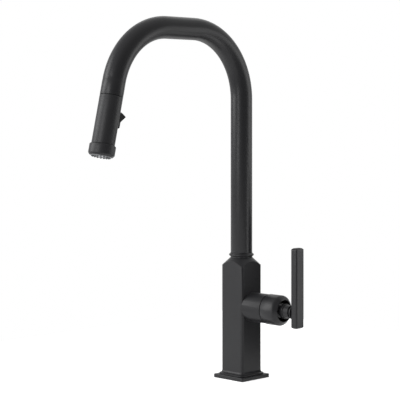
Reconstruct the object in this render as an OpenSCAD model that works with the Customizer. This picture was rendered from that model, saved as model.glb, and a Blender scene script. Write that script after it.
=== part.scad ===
// Single-lever pull-down kitchen faucet: a square column on a square base plate, a bent swivel
// spout, a spray wand docked in its outlet and a lever at the side.
// Millimetres. +Z is up, the origin lies on the column's axis in the plane of the deck, the user
// stands at -Y, and the lever is on the +X side.

/* [Base plate] */
// Side of the square base plate
plate_w = 52; // [48:0.5:60]
// Thickness of the base plate
plate_t = 4.7; // [3.6:0.1:6]
// Radius of the plate's upright corners
plate_corner_r = 1.4; // [1:0.1:4]
// Rounding of the plate's top edge
plate_edge_r = 0.8; // [0.3:0.1:0.9]
// Side of the square gasket under the plate
gasket_w = 46; // [42:0.5:47]
// Thickness of the gasket
gasket_t = 1.2; // [0.8:0.1:2]

/* [Column] */
// Side of the square column
column_w = 38; // [37:0.5:41]
// Radius of the column's upright corners
column_corner_r = 3.75; // [2:0.25:6]
// Height of the flat step at the column's foot
foot_h = 1.8; // [1:0.1:2.5]
// Reach of the foot and of its cove beyond the column's face
foot_reach = 3.7; // [2:0.1:4]
// Height of the neck's flat top above the deck
neck_top_z = 158.4; // [140:0.1:190]
// Radius of the round neck that the shoulder runs up to
neck_r = 14.4; // [13.8:0.1:15.5]
// Height of the neck's straight part
neck_h = 0.5; // [0.5:0.1:4]
// Slope of the turned shoulder from upright
shoulder_slope = 47.5; // [40:0.5:52]

/* [Mounting] */
// Outer radius of the threaded shank
shank_r = 16.8; // [16.2:0.1:17.2]
// Wall of the shank
shank_wall = 1.8; // [1.4:0.1:1.9]
// Length of the shank below the deck
shank_l = 48; // [44:1:70]
// Depth of the shank's seat in the column
shank_seat = 9.3; // [7:0.1:12]
// Thickness of the deck that the stack is set for
deck_t = 18; // [10:1:20]
// Outer radius of the washers and the nut
clamp_r = 26; // [24:0.5:30]
// Thickness of the rubber washer
rubber_t = 2.5; // [1.5:0.1:4]
// Thickness of the steel washer
steel_t = 1.8; // [1.2:0.1:2.5]
// Height of the mounting nut
nut_h = 10; // [7:0.5:12]
// Gap that the jack screws bridge between nut and washer
jack_gap = 2.6; // [1:0.1:4]
// Radius of a jack screw
jack_r = 2.5; // [2:0.1:3]
// Radius of a water socket (M8 x 1)
socket_r = 3.45; // [3:0.05:3.5]
// Depth of the deepest water socket
socket_depth = 14; // [10:1:20]
// How much shallower each next water socket is
socket_step = 1; // [0.5:0.5:2]

/* [Valve] */
// Height of the valve's axis above the deck
valve_z = 94.3; // [60:0.1:115]
// Radius of the valve boss
boss_r = 18.9; // [17.5:0.1:18.9]
// Distance of the boss's end face from the column's axis
boss_end = 48.6; // [46:0.1:54]
// Width of the seam between boss and bonnet
bonnet_seam = 1.6; // [0.5:0.1:2]
// Outer radius of the bonnet
bonnet_r = 19.5; // [18.9:0.1:21]
// Wall of the bonnet
bonnet_wall = 1.7; // [1.2:0.1:2]
// Length of the bonnet's straight part
bonnet_l = 20; // [18:0.1:22]
// Length of the bonnet's bevel
bonnet_bevel = 5.6; // [4.5:0.1:6.5]
// Radius of the bonnet's opening
opening_r = 13.7; // [13.5:0.1:14.2]
// Radius of the cartridge
cartridge_r = 12.6; // [12:0.1:12.8]
// How far the cartridge's nut stands out of the boss
nut_out = 5.5; // [4:0.5:7]
// How far the cartridge's nut reaches into the boss
nut_in = 4.6; // [3.6:0.2:5.6]
// Distance of the lever's tilt axis from the column's axis
pivot_x = 70; // [69:0.1:71]
// Radius of the lever's tilt pin
lever_pin_r = 1.5; // [1.2:0.1:1.8]

/* [Lever] */
// Width of the lever bar seen from the side
bar_w = 15; // [10:0.5:16]
// Thickness of the lever bar
bar_t = 10.2; // [8.2:0.1:12]
// Distance of the bar's inner face from the column's axis
bar_x = 92.3; // [90:0.1:98]
// Length of the bar above the valve's axis
bar_up = 82.3; // [60:0.1:110]
// Length of the bar below the valve's axis
bar_down = 20.1; // [15:0.1:26]
// Rounding of the bar's long edges
bar_edge_r = 2.3; // [1:0.1:3.5]
// Rounding of the bar's ends
bar_end_r = 4; // [1.5:0.1:4]
// Radius of the collar that stands in the bonnet's opening
collar_r = 9.6; // [9.4:0.1:10.9]
// Radius of the stem sleeve between collar and bar
sleeve_r = 8.4; // [7.5:0.1:9]
// Radius of the disc that carries the bar
disc_r = 9.2; // [9:0.1:10]
// Thickness of the disc
disc_t = 1.4; // [1:0.1:3]
// Radius of the groove between sleeve and disc
hub_groove_r = 6.2; // [5.8:0.1:7]
// Width of the groove between sleeve and disc
hub_groove_w = 3.3; // [0.8:0.1:4]
// Side of the square stem
stem_w = 6.8; // [5.5:0.1:7]

/* [Spout] */
// Outer radius of the spout tube
tube_r = 14.2; // [13.5:0.1:14.3]
// Wall of the spout tube
tube_wall = 1.5; // [1:0.1:1.8]
// Height at which the riser starts to bend
riser_top_z = 365.5; // [300:0.1:420]
// Centreline radius of both bends
bend_r = 89; // [70:1:110]
// Length of the level run between the bends
level_l = 48; // [20:0.5:80]
// Tilt of the outlet from upright
outlet_tilt = 13; // [5:1:30]
// Length of the straight end of the spout
stub_l = 17.4; // [14.5:0.1:30]
// Height of the bead ring at the foot of the spout
bead_h = 4.9; // [4:0.1:6]
// Rounding radius of the bead
bead_r = 1.7; // [1.2:0.1:1.9]
// Radius at which the bead's rounding is centred
bead_at = 14.6; // [14.3:0.1:15]
// Radius of the spigot that turns in the column
spigot_r = 12; // [11.6:0.1:12.4]
// Length of the spigot inside the column
spigot_l = 34; // [28:1:36]

/* [Hose] */
// Outer radius of the spray hose
hose_r = 6.2; // [5.5:0.1:6.3]
// Wall of the spray hose
hose_wall = 2.2; // [1.6:0.1:2.6]
// Radius of the hose's crimped ferrule
ferrule_r = 7.5; // [7.2:0.1:7.6]

/* [Wand] */
// Radius of the wand's shell
wand_r = 14.2; // [13.8:0.1:14.4]
// Wall of the wand's shell
wand_wall = 1.6; // [1.2:0.1:1.6]
// Distance from the seam to the nose ring's lower edge
wand_l = 74.2; // [70:0.1:90]
// Width of the seam between spout and wand
wand_seam = 0.5; // [0.3:0.1:0.9]
// Height of the nose ring
nose_h = 14.4; // [8:0.1:16]
// Radius of the nose ring
nose_r = 16.1; // [14.8:0.1:17]
// Bevel at the nose ring's lower edge
nose_bevel = 2.4; // [1.5:0.1:2.5]
// Radius of the spray face
face_r = 13; // [12:0.1:13]
// How far the spray face stands out of the nose ring
face_out = 0.8; // [0.5:0.1:3]
// Number of nozzles in the outer ring
nozzles_out = 18; // [12:1:20]
// Number of nozzles in the inner ring
nozzles_in = 12; // [8:1:14]
// Radius of a nozzle
nozzle_r = 0.95; // [0.7:0.05:1]

/* [Rocker] */
// Distance from the seam to the rocker's upper edge
rocker_top = 16.8; // [16:0.1:22]
// Length of the rocker
rocker_l = 20.4; // [18:0.2:22]
// Width of the rocker
rocker_w = 12.4; // [10:0.2:14]
// How far the rocker's pad stands out of the shell
pad_out = 1.7; // [1:0.1:4]
// How far the rocker's hump stands out of the shell
hump_out = 8.4; // [4:0.1:9]
// Radius of the rocker's pin
rocker_pin_r = 1; // [0.8:0.1:1.3]

/* [Clearances] */
// Radial clearance of a turning fit
turn_gap = 0.06; // [0.03:0.01:0.1]
// Radial clearance of pieces that are seated for good
seat_gap = 0.1; // [0.05:0.05:0.15]
// Clearance between pieces that move past each other
move_gap = 0.3; // [0.2:0.05:0.5]

/* [Hidden] */

$fn = 96;
cut = 0.5;

column_half = column_w / 2;
shank_bore_r = shank_r - shank_wall;
shank_top_z = plate_t + shank_seat;
hose_way_r = hose_r + 0.8;
socket_at = shank_bore_r - socket_r - 0.15;
cone_top_z = neck_top_z - neck_h;

rubber_z = -deck_t - rubber_t;
steel_z = rubber_z - steel_t;
nut_z = steel_z - jack_gap - nut_h;
jack_at = (clamp_r + shank_r) / 2;

spigot_bore_r = spigot_r + turn_gap;
washer_t = 0.5;
bead_z = neck_top_z + turn_gap + washer_t;
bead_groove = 0.4;
tube_z = bead_z + bead_h + bead_groove;
tube_bore_r = tube_r - tube_wall;
tube_seat_r = tube_bore_r - seat_gap;
spigot_z = neck_top_z - spigot_l;
ring_section = 1.3;
ring_z = [spigot_z + 5, neck_top_z - 6];
screw_z = (ring_z[0] + ring_z[1]) / 2;
screw_r = 2.5;
screw_groove_r = spigot_r - 1.6;

chamber_x = column_half + 1;
chamber_r = cartridge_r + 2;
bonnet_x = boss_end + bonnet_seam;
bevel_x = bonnet_x + bonnet_l;
bonnet_end = bevel_x + bonnet_bevel;
bonnet_bore_r = bonnet_r - bonnet_wall;
ledge_x = boss_end - nut_in;
nut_end = boss_end + nut_out;
cartridge_end = boss_end + 8;
cup_x = cartridge_end - 5;
rotor_r = cartridge_r - 0.7;
turret_r = 9.5;
stem_in = pivot_x - 8;
hub_x = pivot_x + 4.5;
collar_x = hub_x + 4.7;
disc_x = bar_x - disc_t;
sleeve_end = disc_x - hub_groove_w;
stem_end = sleeve_end - 1;
lever_screw_x = (collar_x + sleeve_end) / 2;

seam_y = -(bend_r + level_l + bend_r * cos(outlet_tilt) + stub_l * sin(outlet_tilt));
seam_z = riser_top_z + bend_r * sin(outlet_tilt) - stub_l * cos(outlet_tilt);

plug_h = 8;
plug_top_r = 9.6;
plug_r = 10.9;
guide_top = plug_h + 1.5;
ring_h = 1.1;
nut_low = -11.4;
nut_neck = 2.4;
flange_low = -14.2;
flange_r = 7.2;
neck_tube_r = 5.3;
spigot_end = -22;
hose_spigot_r = 4.6;
shell_lip = 2.2;
shell_low = -(wand_l - nose_h);
core_r = wand_r - wand_wall - seat_gap;
core_low = shell_low - 1.5;
chamber_low_r = 8;
spray_chamber_z = core_low + nose_h + nose_bevel;
rocker_mid = -(rocker_top + rocker_l / 2);
rocker_pin_y = 8.2;
rocker_leg_r = 2;
rocker_in_y = 9.4;
pocket_y = rocker_pin_y - rocker_leg_r - move_gap;
rocker_end_gap = 0.9;
face_z = -(wand_l + face_out);
face_top = -(wand_l - 3);
aerator_r = 5.4;
mat_t = 1.4;

// Turns children from the Z axis onto the valve's axis, with the column's axis at the start.
module on_valve() {
    translate([0, 0, valve_z])
        rotate([0, 90, 0])
            children();
}

// Moves children into the outlet's frame: the seam is at the origin and the wand points to -Z.
module at_seam() {
    translate([0, seam_y, seam_z])
        rotate([-outlet_tilt, 0, 0])
            children();
}

// A ring or tube between two heights; an inner radius of 0 gives a solid one.
module ring(outer_r, inner_r, z0, z1) {
    difference() {
        translate([0, 0, z0])
            cylinder(r = outer_r, h = z1 - z0);
        if (inner_r > 0)
            translate([0, 0, z0 - cut])
                cylinder(r = inner_r, h = z1 - z0 + 2 * cut);
    }
}

// A rectangle with round corners, centred on the origin.
module round_rect(w, d, r) {
    translate([-w / 2 + r, -d / 2])
        square([w - 2 * r, d]);
    translate([-w / 2, -d / 2 + r])
        square([w, d - 2 * r]);
    for (x = [-1, 1], y = [-1, 1])
        translate([x * (w / 2 - r), y * (d / 2 - r)])
            circle(r = r);
}

// Carries a profile round a square with round corners. The profile's own X is the distance from
// the centre of the corner's arc, and its Y is the height above z0, up to h.
module carried_round(side, corner_r, z0, h) {
    inner = side - 2 * corner_r;
    translate([-inner / 2, -inner / 2, z0])
        cube([inner, inner, h]);
    for (k = [0:3])
        rotate([0, 0, 90 * k])
            translate([inner / 2, inner / 2, z0]) {
                rotate_extrude(angle = 90)
                    children();
                rotate([90, 0, 0])
                    linear_extrude(height = inner)
                        children();
            }
}

// A tube along the spout's centreline, from z0 to the given length past the second bend. The
// straight end is a hair thicker than the bends.
module bent_tube(outer_r, inner_r, z0, end_l) {
    module section(hair = 0) {
        difference() {
            circle(r = outer_r + hair);
            circle(r = inner_r - hair);
        }
    }
    translate([0, 0, z0])
        linear_extrude(height = riser_top_z - z0)
            section();
    translate([0, -bend_r, riser_top_z])
        rotate([90, 0, 90])
            rotate_extrude(angle = 90)
                translate([bend_r, 0])
                    section();
    translate([0, -bend_r, riser_top_z + bend_r])
        rotate([90, 0, 0])
            linear_extrude(height = level_l)
                section();
    translate([0, -bend_r - level_l, riser_top_z])
        rotate([90, 0, 90]) {
            rotate([0, 0, 90])
                rotate_extrude(angle = 90 - outlet_tilt)
                    translate([bend_r, 0])
                        section();
            if (end_l > 0)
                rotate([0, 0, 180 - outlet_tilt])
                    translate([bend_r, -0.02, 0])
                        rotate([-90, 0, 0])
                            linear_extrude(height = end_l + 0.02)
                                section(0.03);
        }
}

module base_plate() {
    color("#2a2a2c")
        difference() {
            carried_round(plate_w, plate_corner_r, 0, plate_t) {
                union() {
                    square([plate_corner_r, plate_t - plate_edge_r]);
                    square([plate_corner_r - plate_edge_r, plate_t]);
                    translate([plate_corner_r - plate_edge_r, plate_t - plate_edge_r])
                        intersection() {
                            circle(r = plate_edge_r);
                            square(plate_edge_r);
                        }
                }
            }
            translate([0, 0, -cut])
                cylinder(r = shank_r + 0.2, h = plate_t + 2 * cut);
            translate([0, 0, -cut])
                linear_extrude(height = gasket_t + cut)
                    round_rect(gasket_w, gasket_w, 2);
        }
}

module deck_gasket() {
    color("#1a1a1a")
        difference() {
            linear_extrude(height = gasket_t)
                round_rect(gasket_w - 2 * seat_gap, gasket_w - 2 * seat_gap, 2 - seat_gap);
            translate([0, 0, -cut])
                cylinder(r = shank_r + 1, h = gasket_t + 2 * cut);
        }
}

module column() {
    color("#2b2b2d")
        difference() {
            union() {
                carried_round(column_w, column_corner_r, plate_t, foot_h + foot_reach)
                    foot_profile();
                intersection() {
                    translate([0, 0, plate_t])
                        linear_extrude(height = neck_top_z - plate_t)
                            round_rect(column_w, column_w, column_corner_r);
                    turned_shoulder();
                }
                on_valve()
                    translate([0, 0, column_half / 2])
                        cylinder(r = boss_r, h = boss_end - column_half / 2);
            }
            translate([0, 0, plate_t - cut])
                cylinder(r = shank_r + turn_gap, h = shank_seat + cut);
            translate([0, 0, plate_t])
                cylinder(r = hose_way_r, h = neck_top_z);
            translate([0, 0, spigot_z - 1])
                cylinder(r = spigot_bore_r, h = spigot_l + 1 + cut);
            water_sockets();
            on_valve()
                translate([0, 0, chamber_x])
                    cylinder(r = chamber_r, h = boss_end);
            translate([0, 0, screw_z])
                rotate([-90, 0, 0])
                    cylinder(r = screw_r, h = column_w);
        }
}

// The foot's step and the cove that sweeps up from it into the column's face.
module foot_profile() {
    outer = column_corner_r + foot_reach;
    difference() {
        square([outer, foot_h + foot_reach]);
        translate([outer, foot_h + foot_reach])
            circle(r = foot_reach);
    }
}

// The lathe-turned cone that cuts the square column down to the round neck.
module turned_shoulder() {
    run = column_half * sqrt(2) - neck_r;
    drop = run / tan(shoulder_slope);
    rotate_extrude()
        polygon([
            [0, 0],
            [neck_r + run, 0],
            [neck_r + run, cone_top_z - drop],
            [neck_r, cone_top_z],
            [neck_r, neck_top_z],
            [0, neck_top_z]
        ]);
}

// Blind sockets for the hot, cold and mixed water tails, around the hose's way.
module water_sockets() {
    for (k = [0:2])
        translate([socket_at * cos(120 * k), socket_at * sin(120 * k), shank_top_z - cut])
            cylinder(r = socket_r, h = socket_depth - k * socket_step + cut);
}

module shank() {
    color("#c9a64c")
        ring(shank_r, shank_bore_r, -shank_l, shank_top_z);
}

module rubber_washer() {
    color("#1c1c1c")
        ring(clamp_r, shank_r + 0.2, rubber_z, rubber_z + rubber_t);
}

module steel_washer() {
    color("#b8bbc0")
        ring(clamp_r, shank_r + 0.2, steel_z, steel_z + steel_t);
}

module mounting_nut() {
    color("#c9a64c")
        difference() {
            ring(clamp_r, shank_r + turn_gap, nut_z, nut_z + nut_h);
            for (a = [0, 180])
                rotate([0, 0, a])
                    translate([0, jack_at, nut_z - cut])
                        cylinder(r = jack_r + turn_gap, h = nut_h + 2 * cut);
        }
}

module jack_screws() {
    head_h = 3;
    color("#b8bbc0")
        for (a = [0, 180])
            rotate([0, 0, a])
                translate([0, jack_at, 0]) {
                    translate([0, 0, nut_z - 4])
                        cylinder(r = jack_r, h = steel_z - nut_z + 4);
                    translate([0, 0, nut_z - 4 - head_h])
                        cylinder(r = jack_r + 1.4, h = head_h, $fn = 6);
                }
}

// The grub screw at the back, whose tip keeps the spigot from lifting out.
module spout_screw() {
    tip_y = screw_groove_r + move_gap;
    color("#3a3a3c")
        translate([0, 0, screw_z])
            rotate([-90, 0, 0])
                difference() {
                    union() {
                        translate([0, 0, spigot_bore_r + 0.8])
                            cylinder(r = screw_r - turn_gap, h = column_half - spigot_bore_r - 1.4);
                        translate([0, 0, tip_y])
                            cylinder(r = 1.3, h = spigot_bore_r + 0.8 - tip_y);
                    }
                    translate([0, 0, column_half - 3])
                        cylinder(r = 1.4, h = 3, $fn = 6);
                }
}

module cartridge() {
    color("#d8d8d4")
        on_valve()
            difference() {
                union() {
                    translate([0, 0, chamber_x])
                        cylinder(r = chamber_r - seat_gap, h = 4);
                    translate([0, 0, chamber_x])
                        cylinder(r = cartridge_r, h = cartridge_end - chamber_x);
                    translate([0, 0, ledge_x - 4])
                        cylinder(r = chamber_r - seat_gap, h = 4);
                }
                translate([0, 0, cup_x])
                    cylinder(r = rotor_r + turn_gap, h = cartridge_end);
            }
}

// Clamps the cartridge's ledge. Its neck crosses the seam, and its flange carries the bonnet.
module cartridge_nut() {
    color("#c9a64c")
        on_valve() {
            ring(chamber_r - seat_gap, cartridge_r + seat_gap, ledge_x, nut_end);
            ring(bonnet_bore_r - seat_gap, chamber_r - seat_gap - cut, bonnet_x, nut_end);
        }
}

module bonnet() {
    lip = bonnet_wall;
    color("#303032")
        on_valve()
            rotate_extrude()
                polygon([
                    [bonnet_bore_r, bonnet_x],
                    [bonnet_r, bonnet_x],
                    [bonnet_r, bevel_x - 1.2],
                    [bonnet_r - 0.35, bevel_x + 0.2],
                    [opening_r + 0.35, bonnet_end - 0.2],
                    [opening_r, bonnet_end - 0.6],
                    [opening_r, bonnet_end - lip],
                    [bonnet_bore_r, bevel_x - 0.4]
                ]);
}

// The turning head of the cartridge, with the slot that the stem swings in.
module temp_rotor() {
    slot_half_z = stem_w / 2 + 3.4;
    color("#1c1c1e")
        on_valve()
            difference() {
                rotate_extrude()
                    polygon([
                        [0, cup_x + move_gap],
                        [rotor_r, cup_x + move_gap],
                        [rotor_r, cartridge_end - move_gap],
                        [turret_r, cartridge_end - move_gap],
                        [turret_r, pivot_x + 0.6],
                        [turret_r - 4, pivot_x + 2.4],
                        [0, pivot_x + 2.4]
                    ]);
                translate([-slot_half_z, -stem_w / 2 - 0.2, stem_in - 1])
                    cube([2 * slot_half_z, stem_w + 0.4, pivot_x + 4 - stem_in]);
                translate([0, turret_r, pivot_x])
                    rotate([90, 0, 0])
                        cylinder(r = lever_pin_r, h = 2 * turret_r);
            }
}

module tilt_pin() {
    half = 6.2;
    color("#b8bbc0")
        translate([pivot_x, half, valve_z])
            rotate([90, 0, 0])
                cylinder(r = lever_pin_r - 0.02, h = 2 * half);
}

module stem() {
    color("#c9a64c")
        difference() {
            translate([stem_in, -stem_w / 2, valve_z - stem_w / 2])
                cube([stem_end - stem_in, stem_w, stem_w]);
            translate([pivot_x, stem_w, valve_z])
                rotate([90, 0, 0])
                    cylinder(r = lever_pin_r + turn_gap, h = 2 * stem_w);
        }
}

// Collar, sleeve and disc, turned in one piece, with a square socket for the stem.
module lever_hub() {
    color("#2d2d2f")
        difference() {
            on_valve()
                rotate_extrude()
                    polygon([
                        [0, hub_x],
                        [collar_r, hub_x],
                        [collar_r, collar_x - 0.5],
                        [collar_r - 0.5, collar_x],
                        [sleeve_r, collar_x],
                        [sleeve_r, sleeve_end],
                        [hub_groove_r, sleeve_end],
                        [hub_groove_r, disc_x],
                        [disc_r, disc_x],
                        [disc_r, bar_x],
                        [0, bar_x]
                    ]);
            translate([hub_x - cut, -stem_w / 2 - seat_gap, valve_z - stem_w / 2 - seat_gap])
                cube([stem_end - hub_x + cut + 0.3, stem_w + 2 * seat_gap, stem_w + 2 * seat_gap]);
            translate([lever_screw_x, 0, valve_z - sleeve_r - 1])
                cylinder(r = 2, h = sleeve_r);
        }
}

module lever_bar() {
    height = bar_up + bar_down;
    mid_z = valve_z + (bar_up - bar_down) / 2;
    color("#2b2b2d")
        translate([bar_x + bar_t / 2, 0, mid_z])
            intersection() {
                translate([0, 0, -height / 2])
                    linear_extrude(height = height)
                        round_rect(bar_t, bar_w, bar_edge_r);
                rotate([90, 0, 90])
                    translate([0, 0, -bar_t])
                        linear_extrude(height = 2 * bar_t)
                            round_rect(bar_w + 0.02, height, bar_end_r);
                rotate([90, 0, 0])
                    translate([0, 0, -bar_w])
                        linear_extrude(height = 2 * bar_w)
                            round_rect(bar_t + 0.02, height, bar_end_r);
            }
}

module lever_screw() {
    low = valve_z - sleeve_r + 0.5;
    top = valve_z - stem_w / 2;
    color("#3a3a3c")
        translate([lever_screw_x, 0, low])
            difference() {
                cylinder(r = 2 - turn_gap, h = top - low);
                translate([0, 0, -cut])
                    cylinder(r = 1.15, h = 1.6 + cut, $fn = 6);
            }
}

module spigot() {
    color("#c9a64c")
        difference() {
            union() {
                translate([0, 0, spigot_z])
                    cylinder(r = spigot_r, h = tube_z - spigot_z);
                translate([0, 0, tube_z])
                    cylinder(r = tube_seat_r, h = 14);
            }
            translate([0, 0, spigot_z - cut])
                cylinder(r = hose_r + 1.6, h = tube_z);
            for (z = ring_z)
                ring(spigot_r + cut, spigot_r - 2 * ring_section + 0.4, z - ring_section - 0.1,
                    z + ring_section + 0.1);
            ring(spigot_r + cut, screw_groove_r, screw_z - 1.8, screw_z + 1.8);
        }
}

module spigot_rings() {
    color("#161616")
        for (z = ring_z)
            translate([0, 0, z])
                rotate_extrude()
                    translate([spigot_bore_r - 0.03 - ring_section + 0.2, 0])
                        circle(r = ring_section - 0.2);
}

module glide_washer() {
    color("#ececea")
        ring(neck_r - 0.8, spigot_r + seat_gap, neck_top_z + turn_gap, bead_z);
}

// The beaded ring at the foot of the spout, with a fine groove above and below it.
module bead_ring() {
    color("#2d2d2f")
        difference() {
            union() {
                translate([0, 0, bead_z])
                    cylinder(r = bead_at, h = bead_h);
                translate([0, 0, bead_z + bead_h / 2])
                    rotate_extrude()
                        translate([bead_at, 0])
                            circle(r = bead_r);
                translate([0, 0, bead_z + bead_h])
                    cylinder(r = tube_r - 0.7, h = bead_groove);
            }
            translate([0, 0, bead_z - cut])
                cylinder(r = spigot_r + seat_gap, h = bead_h + bead_groove + 2 * cut);
        }
}

module spout_tube() {
    color("#2b2b2d")
        bent_tube(tube_r, tube_bore_r, tube_z, stub_l);
}

// The plastic guide in the outlet, tapered to centre the wand's plug.
module dock_guide() {
    color("#161616")
        at_seam()
            rotate_extrude()
                polygon([
                    [plug_r + move_gap, move_gap],
                    [tube_bore_r - seat_gap, move_gap],
                    [tube_bore_r - seat_gap, guide_top],
                    [plug_top_r + move_gap - 0.2, guide_top],
                    [plug_top_r + move_gap, plug_h]
                ]);
}

module dock_magnet() {
    color("#3c3c40")
        at_seam()
            ring(tube_bore_r - seat_gap, ferrule_r + 0.7, guide_top, stub_l - 0.3);
}

module spray_hose() {
    color("#232325")
        bent_tube(hose_r, hose_r - hose_wall, -shank_l + 1, 0);
}

// The crimped sleeve at the hose's end.
module hose_ferrule() {
    color("#b8bbc0")
        at_seam()
            difference() {
                ring(ferrule_r, hose_r - hose_wall, nut_low + nut_neck + move_gap, stub_l - 0.05);
                for (z = [2.5, 5.5, 8.5])
                    ring(ferrule_r + cut, ferrule_r - 0.35, z, z + 1.2);
            }
}

module hose_nipple() {
    color("#c9a64c")
        at_seam()
            difference() {
                union() {
                    ring(neck_tube_r, 0, nut_low - 0.1, nut_low + nut_neck + move_gap);
                    ring(flange_r, 0, flange_low, nut_low - turn_gap);
                    ring(hose_spigot_r, 0, spigot_end, flange_low);
                }
                translate([0, 0, spigot_end - cut])
                    cylinder(r = 3, h = nut_low + nut_neck - spigot_end + 2 * cut);
            }
}

// The nut inside the wand that lets it turn on the hose's nipple.
module hose_nut() {
    color("#c9a64c")
        at_seam()
            difference() {
                ring(ferrule_r + 1.2, neck_tube_r + turn_gap, nut_low, plug_h - 1.5);
                translate([0, 0, nut_low + nut_neck])
                    cylinder(r = ferrule_r + move_gap, h = plug_h - nut_low);
            }
}

module wand_core() {
    socket = ferrule_r + 1.2 + seat_gap;
    color("#1e1e20")
        at_seam()
            difference() {
                rotate_extrude()
                    polygon([
                        [0, core_low],
                        [core_r, core_low],
                        [core_r, -wand_seam - shell_lip - seat_gap],
                        [plug_r, -wand_seam - shell_lip - seat_gap],
                        [plug_r, 0],
                        [plug_top_r, plug_h],
                        [0, plug_h]
                    ]);
                translate([0, 0, nut_low - turn_gap])
                    cylinder(r = socket, h = plug_h - nut_low + cut);
                translate([0, 0, flange_low - turn_gap])
                    cylinder(r = flange_r + turn_gap, h = nut_low - flange_low + cut);
                translate([0, 0, spigot_end - 2])
                    cylinder(r = hose_spigot_r + turn_gap, h = flange_low - spigot_end + 2 + cut);
                translate([0, 0, core_low - cut])
                    cylinder(r = chamber_low_r, h = spray_chamber_z - core_low + cut);
                translate([0, 0, spray_chamber_z - cut])
                    cylinder(r = 3, h = spigot_end - spray_chamber_z);
                rocker_pocket();
                translate([0, rocker_pin_y, rocker_mid])
                    rotate([0, 90, 0])
                        translate([0, 0, -core_r])
                            cylinder(r = rocker_pin_r, h = 2 * core_r);
            }
}

// The pocket behind the rocker in the wand's core.
module rocker_pocket() {
    w = rocker_w + 2 * move_gap;
    l = rocker_l + 2 * rocker_end_gap + 0.8;
    translate([-w / 2, pocket_y, rocker_mid - l / 2])
        cube([w, core_r, l]);
}

module dock_ring() {
    color("#9a9ca0")
        at_seam()
            ring(plug_top_r - 0.1, ferrule_r + 1.2, plug_h, plug_h + ring_h);
}

module wand_shell() {
    color("#2b2b2d")
        at_seam()
            difference() {
                rotate_extrude()
                    polygon([
                        [plug_r + seat_gap, -wand_seam],
                        [wand_r - 0.3, -wand_seam],
                        [wand_r, -wand_seam - 0.3],
                        [wand_r, shell_low],
                        [wand_r - wand_wall, shell_low],
                        [wand_r - wand_wall, -wand_seam - shell_lip],
                        [plug_r + seat_gap, -wand_seam - shell_lip]
                    ]);
                translate([0, 2 * wand_r, rocker_mid])
                    rotate([90, 0, 0])
                        linear_extrude(height = 2 * wand_r)
                            round_rect(rocker_w + 2 * move_gap, rocker_l + 2 * rocker_end_gap, 2.4);
            }
}

// The spool that sends the water to the aerator or to the nozzles.
module diverter() {
    color("#e2e0d8")
        at_seam()
            difference() {
                ring(chamber_low_r - seat_gap, 2.6, core_low + 1.8, spray_chamber_z - 2);
                for (a = [0, 90])
                    rotate([0, 0, a])
                        translate([-chamber_low_r, 0, (core_low + spray_chamber_z) / 2])
                            rotate([0, 90, 0])
                                cylinder(r = 2, h = 2 * chamber_low_r);
            }
}

module rocker_pin() {
    half = rocker_w / 2 + 1.7;
    color("#b8bbc0")
        at_seam()
            translate([-half, rocker_pin_y, rocker_mid])
                rotate([0, 90, 0])
                    cylinder(r = rocker_pin_r - 0.02, h = 2 * half);
}

// The rocker's side outline: out of the shell along X, up the wand along Y.
function arc(c, r, a0, a1, n) =
    [for (i = [0:n]) c + r * [cos(a0 + (a1 - a0) * i / n), sin(a0 + (a1 - a0) * i / n)]];

module rocker() {
    half = rocker_l / 2;
    pad_y = wand_r + pad_out;
    hump_y = wand_r + hump_out;
    tip_r = 0.7;
    outline = concat(
        [[rocker_in_y, -half + 1.5], [wand_r - 3, -half]],
        arc([pad_y - 1.2, -half + 1.2], 1.2, -90, 0, 6),
        arc([pad_y + 2, half - 13.2], 2, 180, 139, 5),
        arc([hump_y - tip_r, half - 4.6], tip_r, -41, 63, 8),
        [[wand_r + 0.2, half], [wand_r - 3, half], [rocker_in_y, half - 1.5]]
    );
    color("#151515")
        at_seam()
            translate([0, 0, rocker_mid])
                difference() {
                    union() {
                        intersection() {
                            rotate([90, 0, 90])
                                translate([0, 0, -rocker_w / 2])
                                    linear_extrude(height = rocker_w)
                                        polygon(outline);
                            translate([0, 2 * wand_r, 0])
                                rotate([90, 0, 0])
                                    linear_extrude(height = 2 * wand_r)
                                        round_rect(rocker_w + 0.02, rocker_l + 0.02, 2.2);
                        }
                        translate([-rocker_w / 2 + 0.5, rocker_pin_y, 0])
                            rotate([0, 90, 0])
                                cylinder(r = rocker_leg_r, h = rocker_w - 1);
                        translate([-rocker_w / 2 + 0.5, rocker_pin_y, -rocker_leg_r + 0.2])
                            cube([rocker_w - 1, rocker_leg_r, 2 * rocker_leg_r - 0.4]);
                    }
                    translate([-rocker_w, rocker_pin_y, 0])
                        rotate([0, 90, 0])
                            cylinder(r = rocker_pin_r + turn_gap, h = 2 * rocker_w);
                }
}

module nose_ring() {
    ledge = face_top + mat_t + 0.05;
    color("#2d2d2f")
        at_seam()
            rotate_extrude()
                polygon([
                    [core_r - 1.2, core_low - seat_gap],
                    [core_r + seat_gap, core_low - seat_gap],
                    [core_r + seat_gap, shell_low],
                    [wand_r + 0.1, shell_low],
                    [nose_r - 0.4, shell_low - 0.9],
                    [nose_r, shell_low - 1.4],
                    [nose_r, -wand_l + nose_bevel],
                    [nose_r - nose_bevel * 0.8, -wand_l],
                    [face_r + seat_gap, -wand_l],
                    [face_r + seat_gap, ledge],
                    [core_r - 1.2, ledge]
                ]);
}

// Calls its children at every nozzle.
module at_nozzles() {
    for (i = [0:nozzles_out - 1])
        rotate([0, 0, 360 * i / nozzles_out])
            translate([face_r - 1.9, 0, 0])
                children();
    for (i = [0:nozzles_in - 1])
        rotate([0, 0, 360 * (i + 0.5) / nozzles_in])
            translate([face_r - 4.9, 0, 0])
                children();
}

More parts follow.
